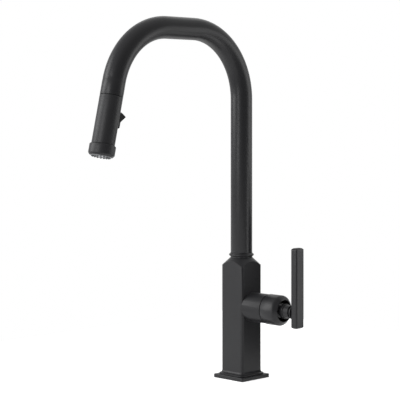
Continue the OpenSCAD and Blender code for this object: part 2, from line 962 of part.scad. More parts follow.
module spray_face() {
    color("#6a6c6e")
        at_seam()
            difference() {
                rotate_extrude()
                    polygon([
                        [aerator_r, face_z + 0.4],
                        [face_r - 1, face_z],
                        [face_r, face_z + 0.6],
                        [face_r, face_top],
                        [aerator_r, face_top]
                    ]);
                translate([0, 0, face_z - cut])
                    at_nozzles()
                        cylinder(r = nozzle_r + seat_gap, h = face_top - face_z + 2 * cut, $fn = 24);
            }
}

// The rubber mat behind the spray face, whose nozzles stand out through the face's holes.
module nozzle_mat() {
    color("#4c4e50")
        at_seam() {
            ring(face_r - seat_gap, aerator_r, face_top, face_top + mat_t);
            translate([0, 0, face_z - 0.5])
                at_nozzles()
                    cylinder(r = nozzle_r, h = face_top - face_z + 1.2, $fn = 24);
        }
}

module aerator() {
    top = face_top + mat_t;
    color("#6f7174")
        at_seam()
            difference() {
                ring(aerator_r - seat_gap, 0, face_z + 0.8, top);
                for (a = [0:60:300])
                    rotate([0, 0, a])
                        translate([3.1, 0, face_z])
                            cylinder(r = 1.1, h = top - face_z + cut, $fn = 24);
                translate([0, 0, face_z])
                    cylinder(r = 1.1, h = top - face_z + cut, $fn = 24);
            }
}

base_plate();
deck_gasket();
column();
shank();
rubber_washer();
steel_washer();
mounting_nut();
jack_screws();
spout_screw();
cartridge();
cartridge_nut();
bonnet();
temp_rotor();
tilt_pin();
stem();
lever_hub();
lever_bar();
lever_screw();
spigot();
spigot_rings();
glide_washer();
bead_ring();
spout_tube();
dock_guide();
dock_magnet();
spray_hose();
hose_ferrule();
hose_nipple();
hose_nut();
wand_core();
dock_ring();
wand_shell();
diverter();
rocker_pin();
rocker();
nose_ring();
spray_face();
nozzle_mat();
aerator();
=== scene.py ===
"""Matte black pull-down kitchen faucet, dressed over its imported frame. Metres, +Z up."""

import logging
import math
from dataclasses import dataclass
from enum import Enum

import bmesh
import bpy
from mathutils import Matrix, Vector


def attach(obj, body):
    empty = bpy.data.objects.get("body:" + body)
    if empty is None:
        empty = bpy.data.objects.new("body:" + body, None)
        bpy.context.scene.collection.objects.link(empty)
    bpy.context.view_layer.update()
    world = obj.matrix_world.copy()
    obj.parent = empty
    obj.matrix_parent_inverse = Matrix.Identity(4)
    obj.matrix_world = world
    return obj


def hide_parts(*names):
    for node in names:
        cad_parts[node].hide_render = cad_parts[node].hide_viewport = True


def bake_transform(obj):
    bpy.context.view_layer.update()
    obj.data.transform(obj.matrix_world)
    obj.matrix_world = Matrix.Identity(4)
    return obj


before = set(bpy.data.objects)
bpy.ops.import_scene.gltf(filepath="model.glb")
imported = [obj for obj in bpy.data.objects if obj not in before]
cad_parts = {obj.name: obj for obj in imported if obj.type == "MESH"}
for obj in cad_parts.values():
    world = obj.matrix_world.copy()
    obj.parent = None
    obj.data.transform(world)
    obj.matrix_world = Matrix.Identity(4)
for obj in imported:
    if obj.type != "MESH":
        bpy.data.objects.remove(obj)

LOG = logging.getLogger("faucet")
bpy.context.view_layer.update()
MM = 0.001

# Radians that a wave texture turns through in one unit at a scale of 1.
WAVE_RATE = 20
WHITE = (1, 1, 1, 1)


# ---------------------------------------------------------------- colour and node helpers
def linear(hex_colour: str) -> tuple[float, float, float, float]:
    """Turns an sRGB hex colour into linear RGBA.

    Args:
        hex_colour: Six hex digits with a leading hash.

    Returns:
        Linear red, green and blue with an alpha of 1.
    """
    values = [int(hex_colour[i : i + 2], 16) / 255 for i in (1, 3, 5)]
    lin = [v / 12.92 if v <= 0.04045 else ((v + 0.055) / 1.055) ** 2.4 for v in values]
    return lin[0], lin[1], lin[2], 1.0


def add_node(
    tree: bpy.types.NodeTree,
    kind: str,
    settings: dict[str, object] | None = None,
    links: dict[str, bpy.types.NodeSocket] | None = None,
) -> bpy.types.Node:
    """Adds one node with its settings and its incoming links.

    Args:
        tree: The node tree that takes the node.
        kind: The node's type name.
        settings: Node properties, or default values of inputs by name or number.
        links: Output sockets to join, by the name or number of the input they feed.

    Returns:
        The new node.
    """
    node = tree.nodes.new(kind)
    for key, value in (settings or {}).items():
        if key.isdigit():
            node.inputs[int(key)].default_value = value
        elif key in node.inputs:
            node.inputs[key].default_value = value
        else:
            setattr(node, key, value)
    for key, socket in (links or {}).items():
        tree.links.new(socket, node.inputs[int(key) if key.isdigit() else key])
    return node


# ---------------------------------------------------------------- surfaces
@dataclass(frozen=True)
class Surface:
    """A surface whose node material is made once and shared.

    Args:
        name: What the surface is and how it was made.
    """

    name: str

    def material(self) -> bpy.types.Material:
        """Makes the surface's material, or finds the one made before.

        Returns:
            The shared node material.
        """
        made = bpy.data.materials.get(self.name)
        if made is None:
            made = bpy.data.materials.new(self.name)
            made.use_nodes = True
            tree = made.node_tree
            tree.nodes.clear()
            shader = self.shader(tree)
            add_node(tree, "ShaderNodeOutputMaterial", None, {"Surface": shader})
        return made

    def shader(self, tree: bpy.types.NodeTree) -> bpy.types.NodeSocket:
        """Adds the surface's nodes, which every kind of surface does in its own way.

        Args:
            tree: The material's empty node tree.

        Returns:
            The socket that carries the finished shader.
        """
        raise NotImplementedError


class Grain(Enum):
    """How a surface was made, which sets the relief of its finish."""

    SPRAYED = "sprayed"
    MOULDED = "moulded"
    TURNED = "turned"
    BRUSHED = "brushed"


@dataclass(frozen=True)
class Finish(Surface):
    """A solid material with cloudy colour, uneven sheen and a fine relief.

    Args:
        hex_colour: The main sRGB colour.
        hex_vary: The sRGB colour that cloudy patches lean to.
        grain: How the surface was made.
        rough: Mean roughness.
        rough_vary: How far the roughness strays from its mean.
        grain_mm: Size of the relief in millimetres.
        relief: Strength of the relief.
        peel_mm: Width of the slow waves of a sprayed skin, or 0 for none.
        metallic: 1 for bare metal.
        ior: Index of refraction of a non-metal.
        cloud_mm: Size of the cloudy patches in millimetres.
        relief_mm: Height of the relief at full strength.
        wave_relief: Strength of the slow waves.
        wave_mm: Height of the slow waves at full strength.
    """

    hex_colour: str
    hex_vary: str
    grain: Grain
    rough: float
    rough_vary: float
    grain_mm: float
    relief: float
    peel_mm: float = 0.0
    metallic: float = 0.0
    ior: float = 1.5
    cloud_mm: float = 18.0
    relief_mm: float = 0.05
    wave_relief: float = 0.12
    wave_mm: float = 0.04

    def shader(self, tree: bpy.types.NodeTree) -> bpy.types.NodeSocket:
        """Adds the finish's nodes.

        Args:
            tree: The material's empty node tree.

        Returns:
            The socket that carries the finished shader.
        """
        place = add_node(tree, "ShaderNodeTexCoord").outputs["Object"]
        cloud = add_node(
            tree,
            "ShaderNodeTexNoise",
            {"Scale": 1 / (self.cloud_mm * MM), "Detail": 4.0, "Roughness": 0.55},
            {"Vector": place},
        )
        colour = add_node(
            tree,
            "ShaderNodeMix",
            {"data_type": "RGBA", "6": linear(self.hex_colour), "7": linear(self.hex_vary)},
            {"Factor": cloud.outputs["Fac"]},
        )
        height = self.height(tree, place)
        rough = add_node(
            tree,
            "ShaderNodeMapRange",
            {"To Min": self.rough - self.rough_vary, "To Max": self.rough + self.rough_vary},
            {"Value": height},
        )
        bump = add_node(
            tree,
            "ShaderNodeBump",
            {"Strength": self.relief, "Distance": self.relief_mm * MM},
            {"Height": height},
        )
        if self.peel_mm:
            waves = add_node(
                tree,
                "ShaderNodeTexNoise",
                {"Scale": 1 / (self.peel_mm * MM), "Detail": 1.0},
                {"Vector": place},
            )
            bump = add_node(
                tree,
                "ShaderNodeBump",
                {"Strength": self.wave_relief, "Distance": self.wave_mm * MM},
                {"Height": waves.outputs["Fac"], "Normal": bump.outputs["Normal"]},
            )
        body = add_node(
            tree,
            "ShaderNodeBsdfPrincipled",
            {"Metallic": self.metallic},
            {
                "Base Color": colour.outputs[2],
                "Roughness": rough.outputs["Result"],
                "Normal": bump.outputs["Normal"],
            },
        )
        if not self.metallic:
            body.inputs["IOR"].default_value = self.ior
        return body.outputs["BSDF"]

    def height(
        self, tree: bpy.types.NodeTree, place: bpy.types.NodeSocket
    ) -> bpy.types.NodeSocket:
        """Adds the height pattern of the finish's grain.

        Args:
            tree: The material's node tree.
            place: Object coordinates in metres.

        Returns:
            The socket that carries the height from 0 to 1.
        """
        scale = 1 / (self.grain_mm * MM)
        kind, result = "ShaderNodeTexNoise", "Fac"
        if self.grain is Grain.MOULDED:
            # Spark-eroded moulds leave a pattern of small cells.
            kind, result = "ShaderNodeTexVoronoi", "Distance"
            settings = {"Scale": scale, "Randomness": 1.0}
        elif self.grain is Grain.TURNED:
            # The lathe's tool leaves rings along the axis.
            kind = "ShaderNodeTexWave"
            settings = {
                "bands_direction": "Z",
                "Scale": scale / WAVE_RATE,
                "Distortion": 1.5,
                "Detail": 2.0,
            }
        elif self.grain is Grain.BRUSHED:
            # Brushing draws the specks out along one axis.
            stretch = add_node(
                tree, "ShaderNodeMapping", {"Scale": (1, 1, 0.03)}, {"Vector": place}
            )
            place = stretch.outputs["Vector"]
            settings = {"Scale": scale, "Detail": 3.0}
        else:
            settings = {"Scale": scale, "Detail": 6.0, "Roughness": 0.65}
        return add_node(tree, kind, settings, {"Vector": place}).outputs[result]


@dataclass(frozen=True)
class Braid(Surface):
    """Yarn braided over the hose: two sets of crossing strands.

    Args:
        hex_strand: sRGB colour of the yarn.
        hex_gap: sRGB colour between the strands.
        strand_mm: Width of a strand of yarn.
        relief: Strength of the weave's relief.
        relief_mm: Height of the relief at full strength.
        rough: Roughness of the yarn.
        sheen: Weight of the yarn's fuzzy sheen.
    """

    hex_strand: str
    hex_gap: str
    strand_mm: float
    relief: float = 0.8
    relief_mm: float = 0.3
    rough: float = 0.55
    sheen: float = 0.3

    def shader(self, tree: bpy.types.NodeTree) -> bpy.types.NodeSocket:
        """Adds the braid's nodes, whose strands follow the hose's UV map in metres.

        Args:
            tree: The material's empty node tree.

        Returns:
            The socket that carries the finished shader.
        """
        uv = add_node(tree, "ShaderNodeUVMap", {"uv_map": "along"}).outputs["UV"]
        scale = 2 * math.pi / (WAVE_RATE * self.strand_mm * MM)
        heights = {}
        for key, lean in (("0", 45), ("1", -45)):
            turn = {"Rotation": (0, 0, math.radians(lean))}
            turned = add_node(tree, "ShaderNodeMapping", turn, {"Vector": uv})
            heights[key] = add_node(
                tree,
                "ShaderNodeTexWave",
                {"bands_direction": "X", "Scale": scale},
                {"Vector": turned.outputs["Vector"]},
            ).outputs["Fac"]
        weave = add_node(tree, "ShaderNodeMath", {"operation": "MAXIMUM"}, heights).outputs[0]
        colour = add_node(
            tree,
            "ShaderNodeMix",
            {"data_type": "RGBA", "6": linear(self.hex_gap), "7": linear(self.hex_strand)},
            {"Factor": weave},
        )
        bump = add_node(
            tree,
            "ShaderNodeBump",
            {"Strength": self.relief, "Distance": self.relief_mm * MM},
            {"Height": weave},
        )
        yarn = add_node(
            tree,
            "ShaderNodeBsdfPrincipled",
            {"Roughness": self.rough, "Sheen Weight": self.sheen},
            {"Base Color": colour.outputs[2], "Normal": bump.outputs["Normal"]},
        )
        return yarn.outputs["BSDF"]


@dataclass(frozen=True)
class Felt(Surface):
    """Black felt, which takes almost all light.

    Args:
        grey: The part of the light that it gives back.
    """

    grey: float

    def shader(self, tree: bpy.types.NodeTree) -> bpy.types.NodeSocket:
        """Adds a plain matt black.

        Args:
            tree: The material's empty node tree.

        Returns:
            The socket that carries the finished shader.
        """
        colour = (self.grey, self.grey, self.grey, 1)
        return add_node(tree, "ShaderNodeBsdfDiffuse", {"Color": colour}).outputs["BSDF"]


@dataclass(frozen=True)
class Paper(Surface):
    """The floor's white paper, which glows a little so that shadows on it stay pale.

    Args:
        grey: The part of the light that it gives back.
        glow: How bright it is by itself to the eye and in reflections.
    """

    grey: float
    glow: float

    def shader(self, tree: bpy.types.NodeTree) -> bpy.types.NodeSocket:
        """Adds matt white and a glow that lights nothing else.

        Args:
            tree: The material's empty node tree.

        Returns:
            The socket that carries the finished shader.
        """
        path = add_node(tree, "ShaderNodeLightPath").outputs
        seen = add_node(
            tree,
            "ShaderNodeMath",
            {"operation": "MAXIMUM"},
            {"0": path["Is Camera Ray"], "1": path["Is Glossy Ray"]},
        )
        matt = add_node(
            tree, "ShaderNodeBsdfDiffuse", {"Color": (self.grey, self.grey, self.grey, 1)}
        )
        glow = add_node(
            tree,
            "ShaderNodeEmission",
            {"Color": (self.glow, self.glow, self.glow, 1)},
            {"Strength": seen.outputs[0]},
        )
        both = {"0": matt.outputs[0], "1": glow.outputs[0]}
        return add_node(tree, "ShaderNodeAddShader", None, both).outputs[0]


# ---------------------------------------------------------------- finishes
# Powder coat baked on brass: an even black satin whose fine pebble breaks up the highlights.
POWDER_COAT = Finish(
    "powder_coat_sprayed_black", "#1e1e20", "#212123", Grain.SPRAYED,
    rough=0.36, rough_vary=0.04, grain_mm=0.35, relief=0.3, peel_mm=2.2, ior=1.34,
)
# The same coat on the bent tube, a little smoother, so the studio's edges show as soft bands.
TUBE_COAT = Finish(
    "powder_coat_sprayed_tube", "#1e1e20", "#212123", Grain.SPRAYED,
    rough=0.34, rough_vary=0.03, grain_mm=0.35, relief=0.25, peel_mm=2.6, ior=1.36,
)
# ABS moulded and painted to match the metal: slightly duller than the coat.
WAND_ABS = Finish(
    "abs_moulded_satin_black", "#222224", "#252527", Grain.MOULDED,
    rough=0.42, rough_vary=0.04, grain_mm=0.4, relief=0.15, ior=1.36,
)
# Bare black ABS inside: dull and dark.
CORE_ABS = Finish(
    "abs_moulded_dull_black", "#1a1a1b", "#1e1e20", Grain.MOULDED,
    rough=0.5, rough_vary=0.05, grain_mm=0.5, relief=0.25,
)
# Soft button rubber: nearly black, with a dry sheen.
BUTTON_RUBBER = Finish(
    "nitrile_rubber_moulded", "#0e0e0f", "#121213", Grain.MOULDED,
    rough=0.58, rough_vary=0.06, grain_mm=0.35, relief=0.3, ior=1.3,
)
# Gasket, seals and rubber washer: dusty black rubber.
SEAL_RUBBER = Finish(
    "epdm_rubber_moulded", "#191919", "#202020", Grain.MOULDED,
    rough=0.62, rough_vary=0.06, grain_mm=0.6, relief=0.3,
)
# Nozzle rubber: soft grey silicone with a matt skin.
NOZZLE_SILICONE = Finish(
    "silicone_moulded_grey", "#4a4c4e", "#525456", Grain.MOULDED,
    rough=0.5, rough_vary=0.05, grain_mm=0.4, relief=0.2,
)
# The spray face and the aerator: mid grey ABS with a satin skin.
FACE_ABS = Finish(
    "abs_moulded_mid_grey", "#6c6e70", "#747678", Grain.MOULDED,
    rough=0.35, rough_vary=0.05, grain_mm=0.5, relief=0.15,
)
# The cartridge's turning head and the glide washer: black acetal with a waxy skin.
BLACK_ACETAL = Finish(
    "acetal_moulded_black", "#2e2e30", "#323234", Grain.MOULDED,
    rough=0.42, rough_vary=0.05, grain_mm=0.6, relief=0.15,
)
# The cartridge and the diverter: white acetal, milky and waxy.
ACETAL = Finish(
    "acetal_moulded_white", "#dcdad2", "#e4e2da", Grain.MOULDED,
    rough=0.4, rough_vary=0.05, grain_mm=0.6, relief=0.15,
)
# Turned brass: warm, with fine lathe rings.
BRASS = Finish(
    "brass_turned", "#c2a15c", "#b6934c", Grain.TURNED,
    rough=0.3, rough_vary=0.07, grain_mm=0.4, relief=0.3, metallic=1.0,
)
# Stainless steel: grey, with a drawn grain.
STEEL = Finish(
    "stainless_steel_brushed", "#b4b5b8", "#a9aaad", Grain.BRUSHED,
    rough=0.32, rough_vary=0.08, grain_mm=0.15, relief=0.3, metallic=1.0,
)
# Black oxide on the grub screws and the cartridge's nut: dark and slightly oily.
BLACK_OXIDE = Finish(
    "steel_black_oxide", "#3a3a3d", "#303033", Grain.SPRAYED,
    rough=0.4, rough_vary=0.06, grain_mm=0.4, relief=0.2, metallic=1.0,
)
# Nickel on the dock's magnet: dull silver.
NICKEL = Finish(
    "nickel_plated_magnet", "#8d8e92", "#838488", Grain.SPRAYED,
    rough=0.35, rough_vary=0.06, grain_mm=0.5, relief=0.2, metallic=1.0,
)
# Nylon yarn braided over the hose: 22 dull strands go around it, with dark gaps between them.
BRAID = Braid("nylon_braided_black", "#2a2a2c", "#0c0c0d", strand_mm=1.252)
# The studio's black card: felt so dull that it shows no light of its own.
BLACK_FELT = Felt("black_felt", grey=0.01)
# The studio's floor: paper so white that only a soft shadow is left on it.
WHITE_PAPER = Paper("floor_white_paper", grey=0.8, glow=0.72)


# ---------------------------------------------------------------- mesh helpers
def new_object(name: str, data: bpy.types.ID) -> bpy.types.Object:
    """Adds an object to the scene.

    Args:
        name: The object's name.
        data: Its mesh, lamp or camera.

    Returns:
        The new object.
    """
    obj = bpy.data.objects.new(name, data)
    bpy.context.scene.collection.objects.link(obj)
    return obj


def new_piece(name: str, bm: bmesh.types.BMesh, surface: Surface) -> bpy.types.Object:
    """Turns a bmesh into a smooth, dressed object in the scene.

    Args:
        name: The piece's name.
        bm: Its mesh, which is freed.
        surface: Its surface.

    Returns:
        The new object.
    """
    for face in bm.faces:
        face.smooth = True
    mesh = bpy.data.meshes.new(name)
    bm.to_mesh(mesh)
    bm.free()
    mesh.materials.append(surface.material())
    LOG.info("made %s", name)
    return new_object(name, mesh)


def add_ring(
    bm: bmesh.types.BMesh, radii: list[float], z: float, at: Matrix
) -> list[bmesh.types.BMVert]:
    """Adds a ring of vertices that starts at +X, with one vertex for each radius.

    Args:
        bm: The mesh that takes the ring.
        radii: Distance of each vertex from the axis.
        z: Height of the ring along its axis.
        at: Where the ring's axis goes.

    Returns:
        The ring's vertices.
    """
    ring = []
    for k, r in enumerate(radii):
        a = 2 * math.pi * k / len(radii)
        ring.append(bm.verts.new(at @ Vector((r * math.cos(a), r * math.sin(a), z))))
    return ring


def bridge(
    bm: bmesh.types.BMesh, low: list[bmesh.types.BMVert], high: list[bmesh.types.BMVert]
) -> list[bmesh.types.BMFace]:
    """Joins two rings with quads.

    Args:
        bm: The mesh that the rings belong to.
        low: The first ring.
        high: The next ring, with as many vertices.

    Returns:
        The quads, in the rings' order.
    """
    following = [(k + 1) % len(low) for k in range(len(low))]
    return [bm.faces.new((low[k], low[n], high[n], high[k])) for k, n in enumerate(following)]


def close_up(bm: bmesh.types.BMesh, rings: list[list[bmesh.types.BMVert]]) -> None:
    """Joins every ring to the next, and the last to the first.

    Args:
        bm: The mesh that the rings belong to.
        rings: The rings, all with as many vertices.
    """
    for low, high in zip(rings, rings[1:] + rings[:1]):
        bridge(bm, low, high)


def lathe(
    bm: bmesh.types.BMesh, profile: list[tuple[float, float]], sides: int, at: Matrix
) -> None:
    """Turns a closed profile into a ring and adds it to a mesh.

    Args:
        bm: The mesh that takes the ring.
        profile: Radius and height of each corner of the ring's section.
        sides: Number of sides.
        at: Where the ring's axis goes.
    """
    close_up(bm, [add_ring(bm, [r] * sides, z, at) for r, z in profile])


def sweep(
    name: str, path: list[Vector], radius: float, surface: Surface, drawn: float = 1.0
) -> bpy.types.Object:
    """Sweeps a round tube along a path in the plane X = 0, with a UV map in metres.

    Args:
        name: The piece's name.
        path: Points of the centreline.
        radius: Outer radius.
        surface: The tube's surface.
        drawn: How many times its length the tube has once it is drawn out, which the UV map shows.

    Returns:
        The new object.
    """
    sides = 32
    bm = bmesh.new()
    uv = bm.loops.layers.uv.new("along")
    rings, along = [], [0.0]
    for i, point in enumerate(path):
        ahead = (path[min(i + 1, len(path) - 1)] - path[max(i - 1, 0)]).normalized()
        side = Vector((1, 0, 0))
        turn = Matrix((side, ahead.cross(side), ahead)).transposed().to_4x4()
        rings.append(add_ring(bm, [radius] * sides, 0, Matrix.Translation(point) @ turn))
        if i:
            along.append(along[-1] + (point - path[i - 1]).length)
    step = 2 * math.pi * radius / sides
    for i, (low, high) in enumerate(zip(rings, rings[1:])):
        for k, face in enumerate(bridge(bm, low, high)):
            spots = ((k, i), (k + 1, i), (k + 1, i + 1), (k, i + 1))
            for loop, (u, v) in zip(face.loops, spots):
                loop[uv].uv = (u * step, along[v] * drawn)
    bmesh.ops.recalc_face_normals(bm, faces=bm.faces)
    return new_piece(name, bm, surface)


# ---------------------------------------------------------------- the spout's route
@dataclass(frozen=True)
class Route:
    """The spout's centreline, which the hose and the docked wand share.

    Args:
        riser_top: Height where the riser starts to bend.
        bend: Centreline radius of both bends.
        level: Length of the level run.
        tilt: Tilt of the outlet from upright, in degrees.
        stub: Length of the straight end.
        riser_step: Most distance between points of the riser.
        bend_steps: Number of steps around each bend.
        level_steps: Number of steps along the level run.
    """

    riser_top: float = 365.5 * MM
    bend: float = 89 * MM
    level: float = 48 * MM
    tilt: float = 13.0
    stub: float = 17.4 * MM
    riser_step: float = 4 * MM
    bend_steps: int = 40
    level_steps: int = 12

    def down(self) -> Vector:
        """Returns the direction that the wand is pulled in."""
        t = math.radians(self.tilt)
        return Vector((0, -math.sin(t), -math.cos(t)))

    def end(self) -> Vector:
        """Returns the end of the second bend."""
        return self.arc(-self.bend - self.level, 90, 90 - self.tilt)[-1]

    def seam(self) -> Matrix:
        """Returns the outlet's frame: the seam is its origin and the wand points to -Z."""
        turn = Matrix.Rotation(math.radians(-self.tilt), 4, "X")
        return Matrix.Translation(self.end() + self.down() * self.stub) @ turn

    def arc(self, middle: float, start: float, turn: float) -> list[Vector]:
        """Lists points around one bend.

        Args:
            middle: Y of the bend's centre.
            start: Angle of the first point in degrees, from +Y towards +Z.
            turn: How far the bend turns, in degrees.

        Returns:
            The points, with both ends.
        """
        path = []
        for i in range(self.bend_steps + 1):
            a = math.radians(start + turn * i / self.bend_steps)
            across, up = self.bend * math.cos(a), self.bend * math.sin(a)
            path.append(Vector((0, middle + across, self.riser_top + up)))
        return path

    def centreline(self, low: float) -> list[Vector]:
        """Lists points along riser, bends and level run.

        Args:
            low: Height of the first point.

        Returns:
            The points, up to the end of the second bend.
        """
        rise = self.riser_top - low
        steps = int(rise / self.riser_step)
        riser = [Vector((0, 0, low + rise * i / steps)) for i in range(steps)]
        run = [
            Vector((0, -self.bend - self.level * i / self.level_steps, self.riser_top + self.bend))
            for i in range(1, self.level_steps)
        ]
        first = self.arc(-self.bend, 0, 90)
        second = self.arc(-self.bend - self.level, 90, 90 - self.tilt)
        return riser + first + run + second


ROUTE = Route()


# ---------------------------------------------------------------- sub-assemblies
@dataclass
class SubAssembly:
    """A group of CAD nodes that are dressed together.

    Args:
        title: What the log calls it.
        finishes: The finish of each carried-over node.
        edge_mm: Width of the worn-in rounding on the nodes' sharp edges.
        weld_mm: Distance under which doubled vertices of a node are joined first.
        sharp_deg: Angle from which an edge counts as sharp.
    """

    title: str
    finishes: dict[str, Finish]
    edge_mm: float = 0.25
    weld_mm: float = 0.002
    sharp_deg: float = 35

    def build(self) -> None:
        """Dresses the nodes, then adds what the frame lacks."""
        for node, finish in self.finishes.items():
            self.dress(node, finish)
        self.add_pieces()

    def dress(self, node: str, finish: Finish) -> None:
        """Gives a CAD node its finish and rounds its sharp edges.

        Args:
            node: The node's name.
            finish: Its finish.
        """
        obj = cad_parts[node]
        obj.data.materials.clear()
        obj.data.materials.append(finish.material())
        weld = obj.modifiers.new("weld", "WELD")
        weld.merge_threshold = self.weld_mm * MM
        bevel = obj.modifiers.new("edge", "BEVEL")
        bevel.width = self.edge_mm * MM
        bevel.segments = 2
        bevel.limit_method = "ANGLE"
        bevel.angle_limit = math.radians(self.sharp_deg)
        bevel.use_clamp_overlap = True
        LOG.info("dressed %s as %s", node, finish.name)

    def add_pieces(self) -> None:
        """Adds nothing by default."""


@dataclass
class Column(SubAssembly):
    """The fixed body: base plate, column, valve boss and bonnet."""


@dataclass
class DeckMounting(SubAssembly):
    """What clamps the faucet to the deck from below.

    Args:
        crest: Radius over the thread's crests.
        depth: Depth of the thread.
        bore: Radius of the shank's bore.
        low: Height of the shank's lower end.
        high: Height of its upper end.
        pitch: Distance from one thread to the next.
        sides: Number of sides around the shank.
        pitch_rows: Number of rows of faces in one pitch.
        crease_deg: Angle from which an edge of the thread stays sharp.
    """

    crest: float = 16.8 * MM
    depth: float = 0.9 * MM
    bore: float = 15.0 * MM
    low: float = -48 * MM
    high: float = 14.0 * MM
    pitch: float = 2.0 * MM
    sides: int = 72
    pitch_rows: int = 6
    crease_deg: float = 50

    def thread_r(self, z: float, part: float) -> float:
        """Works out the shank's outer radius, with a thread that ends below the deck's face.

        Args:
            z: Height on the shank.
            part: Part of a turn around it, from 0 to 1.

        Returns:
            The radius there.
        """
        fade = max(0.0, min(1.0, (z - self.low) / self.pitch, -z / self.pitch))
        phase = (z / self.pitch - part) % 1
        return self.crest - self.depth * fade * (1 - abs(2 * phase - 1))

    def add_pieces(self) -> None:
        """Turns the shank with its real thread."""
        bm = bmesh.new()
        parts = [k / self.sides for k in range(self.sides)]
        rows = round((self.high - self.low) / (self.pitch / self.pitch_rows))
        rings = []
        for i in range(rows + 1):
            z = self.low + (self.high - self.low) * i / rows
            rings.append(add_ring(bm, [self.thread_r(z, part) for part in parts], z, Matrix()))
        for z in (self.high, self.low):
            rings.append(add_ring(bm, [self.bore] * self.sides, z, Matrix()))
        close_up(bm, rings)
        bmesh.ops.recalc_face_normals(bm, faces=bm.faces)
        shank = new_piece("threaded_shank", bm, BRASS)
        shank.data.set_sharp_from_angle(angle=math.radians(self.crease_deg))
        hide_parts("shank")
        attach(shank, "base")


@dataclass
class Lever(SubAssembly):
    """The lever with its hub, stem and rotor."""


@dataclass
class Spout(SubAssembly):
    """The bent swivel spout with the hose inside it.

    Args:
        hose_r: Radius of the hose.
        hose_low: Height of the hose's lower end.
        pull: How far the wand can be drawn out.
        past_seam: How far the drawn stretch goes past the seam at rest.
        run_steps: Number of steps along the drawn stretch.
    """

    hose_r: float = 6.2 * MM
    hose_low: float = -47 * MM
    pull: float = 280 * MM
    past_seam: float = 5 * MM
    run_steps: int = 64

    def add_pieces(self) -> None:
        """Adds the braided hose and the stretch of it that the wand draws out."""
        hose = sweep("braided_hose", ROUTE.centreline(self.hose_low), self.hose_r, BRAID)
        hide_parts("spray_hose")
        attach(hose, "spout")
        end, down = ROUTE.end(), ROUTE.down()
        rest = ROUTE.stub + self.past_seam
        run = [end + down * rest * i / self.run_steps for i in range(self.run_steps + 1)]
        drawn = sweep("drawn_hose", run, self.hose_r, BRAID, (rest + self.pull) / rest)
        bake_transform(drawn)


@dataclass
class Wand(SubAssembly):
    """The spray wand with its rocker, nozzles and inner parts.

    Args:
        face_low: Distance from the seam to the spray face.
        nozzles: Number of nozzles in each circle and the circle's radius.
        tip_mm: Radius and height from the face of each corner of a nozzle's tip.
        tip_sides: Number of sides of a tip.
        screen_up: Height of the aerator's screen above the face.
        screen_r: Radius of the screen.
        wire: Thickness of its wires.
        wire_sides: Number of sides of a wire.
        mesh_step: Distance from one wire to the next.
        rim_mm: Distance past the screen's edge and height of each corner of its rim.
        rim_sides: Number of sides of the rim.
    """

    face_low: float = 75.0 * MM
    nozzles: tuple[tuple[int, float], ...] = ((18, 11.1 * MM), (12, 8.1 * MM))
    tip_mm: tuple[tuple[float, float], ...] = (
        (0.95, -0.45), (0.874, -0.73), (0.665, -0.85), (0.35, -0.85), (0.28, -0.45),
    )
    tip_sides: int = 16
    screen_up: float = 0.7 * MM
    screen_r: float = 5.0 * MM
    wire: float = 0.3 * MM
    wire_sides: int = 6
    mesh_step: float = 0.9 * MM
    rim_mm: tuple[tuple[float, float], ...] = (
        (-0.1, -0.35), (0.3, -0.35), (0.3, 0.3), (-0.1, 0.3),
    )
    rim_sides: int = 48

    def add_pieces(self) -> None:
        """Adds the nozzles' tips and the aerator's screen."""
        self.add_tips()
        self.add_screen()

    def add_tips(self) -> None:
        """Adds a tapered tip with an opening to every nozzle."""
        bm = bmesh.new()
        profile = [(r * MM, -self.face_low + z * MM) for r, z in self.tip_mm]
        for circle, (count, radius) in enumerate(self.nozzles):
            for i in range(count):
                # Every second circle starts half a step on, so that the nozzles alternate.
                a = 2 * math.pi * (i + 0.5 * circle) / count
                at = Matrix.Translation((radius * math.cos(a), radius * math.sin(a), 0))
                lathe(bm, profile, self.tip_sides, ROUTE.seam() @ at)
        bmesh.ops.recalc_face_normals(bm, faces=bm.faces)
        tips = new_piece("nozzle_tips", bm, NOZZLE_SILICONE)
        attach(tips, "wand")

    def add_wire(self, bm: bmesh.types.BMesh, at: Matrix, k: int, phase: float) -> None:
        """Adds one wire, which goes over and under the ones that cross it.

        Args:
            bm: The mesh that takes the wire.
            at: The screen's frame, whose Y runs along the wire.
            k: The wire's number, counted from the screen's middle.
            phase: 0 or 1, for which of the crossing wires it goes over.
        """
        x = k * self.mesh_step
        half = math.sqrt(self.screen_r**2 - x**2)
        steps = max(2, round(2 * half / self.mesh_step) * 2)
        upright = Matrix.Rotation(math.radians(90), 4, "X")
        radii = [0.5 * self.wire] * self.wire_sides
        rings = []
        for i in range(steps + 1):
            y = -half + 2 * half * i / steps
            lift = 0.5 * self.wire * math.cos(math.pi * (y / self.mesh_step + k + phase))
            rings.append(add_ring(bm, radii, 0, at @ Matrix.Translation((x, y, lift)) @ upright))
        for before, after in zip(rings, rings[1:]):
            bridge(bm, before, after)

    def add_screen(self) -> None:
        """Weaves the aerator's wire screen and sets it into a thin rim."""
        bm = bmesh.new()
        at = ROUTE.seam() @ Matrix.Translation((0, 0, -self.face_low + self.screen_up))
        count = int(self.screen_r / self.mesh_step)
        for phase in (0, 1):
            spin = at @ Matrix.Rotation(math.radians(90 * phase), 4, "Z")
            for k in range(-count, count + 1):
                self.add_wire(bm, spin, k, phase)
        rim = [(self.screen_r + r * MM, z * MM) for r, z in self.rim_mm]
        lathe(bm, rim, self.rim_sides, at)
        bmesh.ops.recalc_face_normals(bm, faces=bm.faces)
        screen = new_piece("aerator_screen", bm, STEEL)
        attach(screen, "wand")


